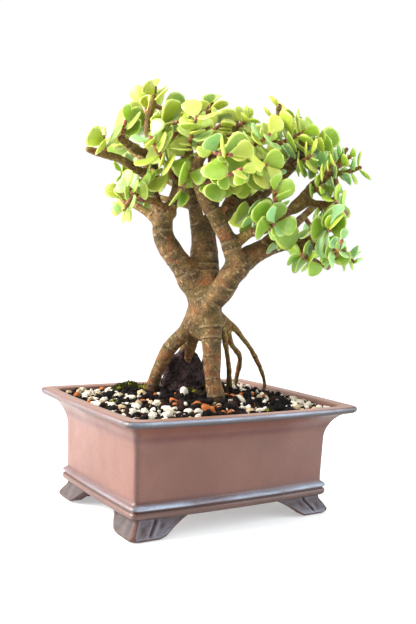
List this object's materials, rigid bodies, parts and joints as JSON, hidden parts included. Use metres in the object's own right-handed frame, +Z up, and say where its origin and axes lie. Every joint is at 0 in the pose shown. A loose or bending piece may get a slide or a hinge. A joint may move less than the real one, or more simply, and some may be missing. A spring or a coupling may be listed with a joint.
{
  "type": "dwarf jade bonsai",
  "caption": "Small succulent tree with fleshy round leaves and exposed roots over a lava rock, in a footed rectangular glazed pot with a flared rim.",
  "frame": {"origin": "middle of the whole outline's footprint, on the surface that the pot's feet stand on; the pot's own middle is at x -0.0139, y -0.0032", "axes": "+X along the pot's long side, +Y across the pot, away from the picture's near long side, +Z up"},
  "size_m": [0.1954, 0.1692, 0.2771],
  "materials": {
    "glazed_pot": "satin mauve-brown glaze",
    "screen_plastic": "moulded mesh",
    "soil": "dark grit with pale pumice and terracotta grains",
    "lava": "pitted lava",
    "bark": "thin ringed bark",
    "leaf": "waxy leaf and reddish stem"
  },
  "bodies": {
    "root": {"pot": "glazed_pot", "drain_screen_left": "screen_plastic", "drain_screen_right": "screen_plastic", "soil": "soil", "lava_rock": "lava", "trunk": "bark", "spray_01": "leaf", "spray_02": "leaf", "spray_03": "leaf", "spray_04": "leaf", "spray_05": "leaf", "spray_06": "leaf", "spray_07": "leaf", "spray_08": "leaf", "spray_09": "leaf", "spray_10": "leaf", "spray_11": "leaf", "spray_12": "leaf", "spray_13": "leaf", "spray_14": "leaf", "spray_15": "leaf", "spray_16": "leaf", "spray_17": "leaf", "spray_18": "leaf", "spray_19": "leaf", "spray_20": "leaf", "spray_21": "leaf", "spray_22": "leaf", "spray_23": "leaf", "spray_24": "leaf", "spray_25": "leaf", "spray_26": "leaf", "spray_27": "leaf", "spray_28": "leaf", "spray_29": "leaf", "spray_30": "leaf", "spray_31": "leaf", "spray_32": "leaf", "spray_33": "leaf", "spray_34": "leaf", "spray_35": "leaf", "spray_36": "leaf", "spray_37": "leaf", "spray_38": "leaf", "spray_39": "leaf", "spray_40": "leaf", "spray_41": "leaf", "spray_42": "leaf", "spray_43": "leaf", "spray_44": "leaf", "spray_45": "leaf", "spray_46": "leaf", "spray_47": "leaf", "spray_48": "leaf", "spray_49": "leaf", "spray_50": "leaf", "spray_51": "leaf", "spray_52": "leaf", "spray_53": "leaf"}
  },
  "joints": []
}
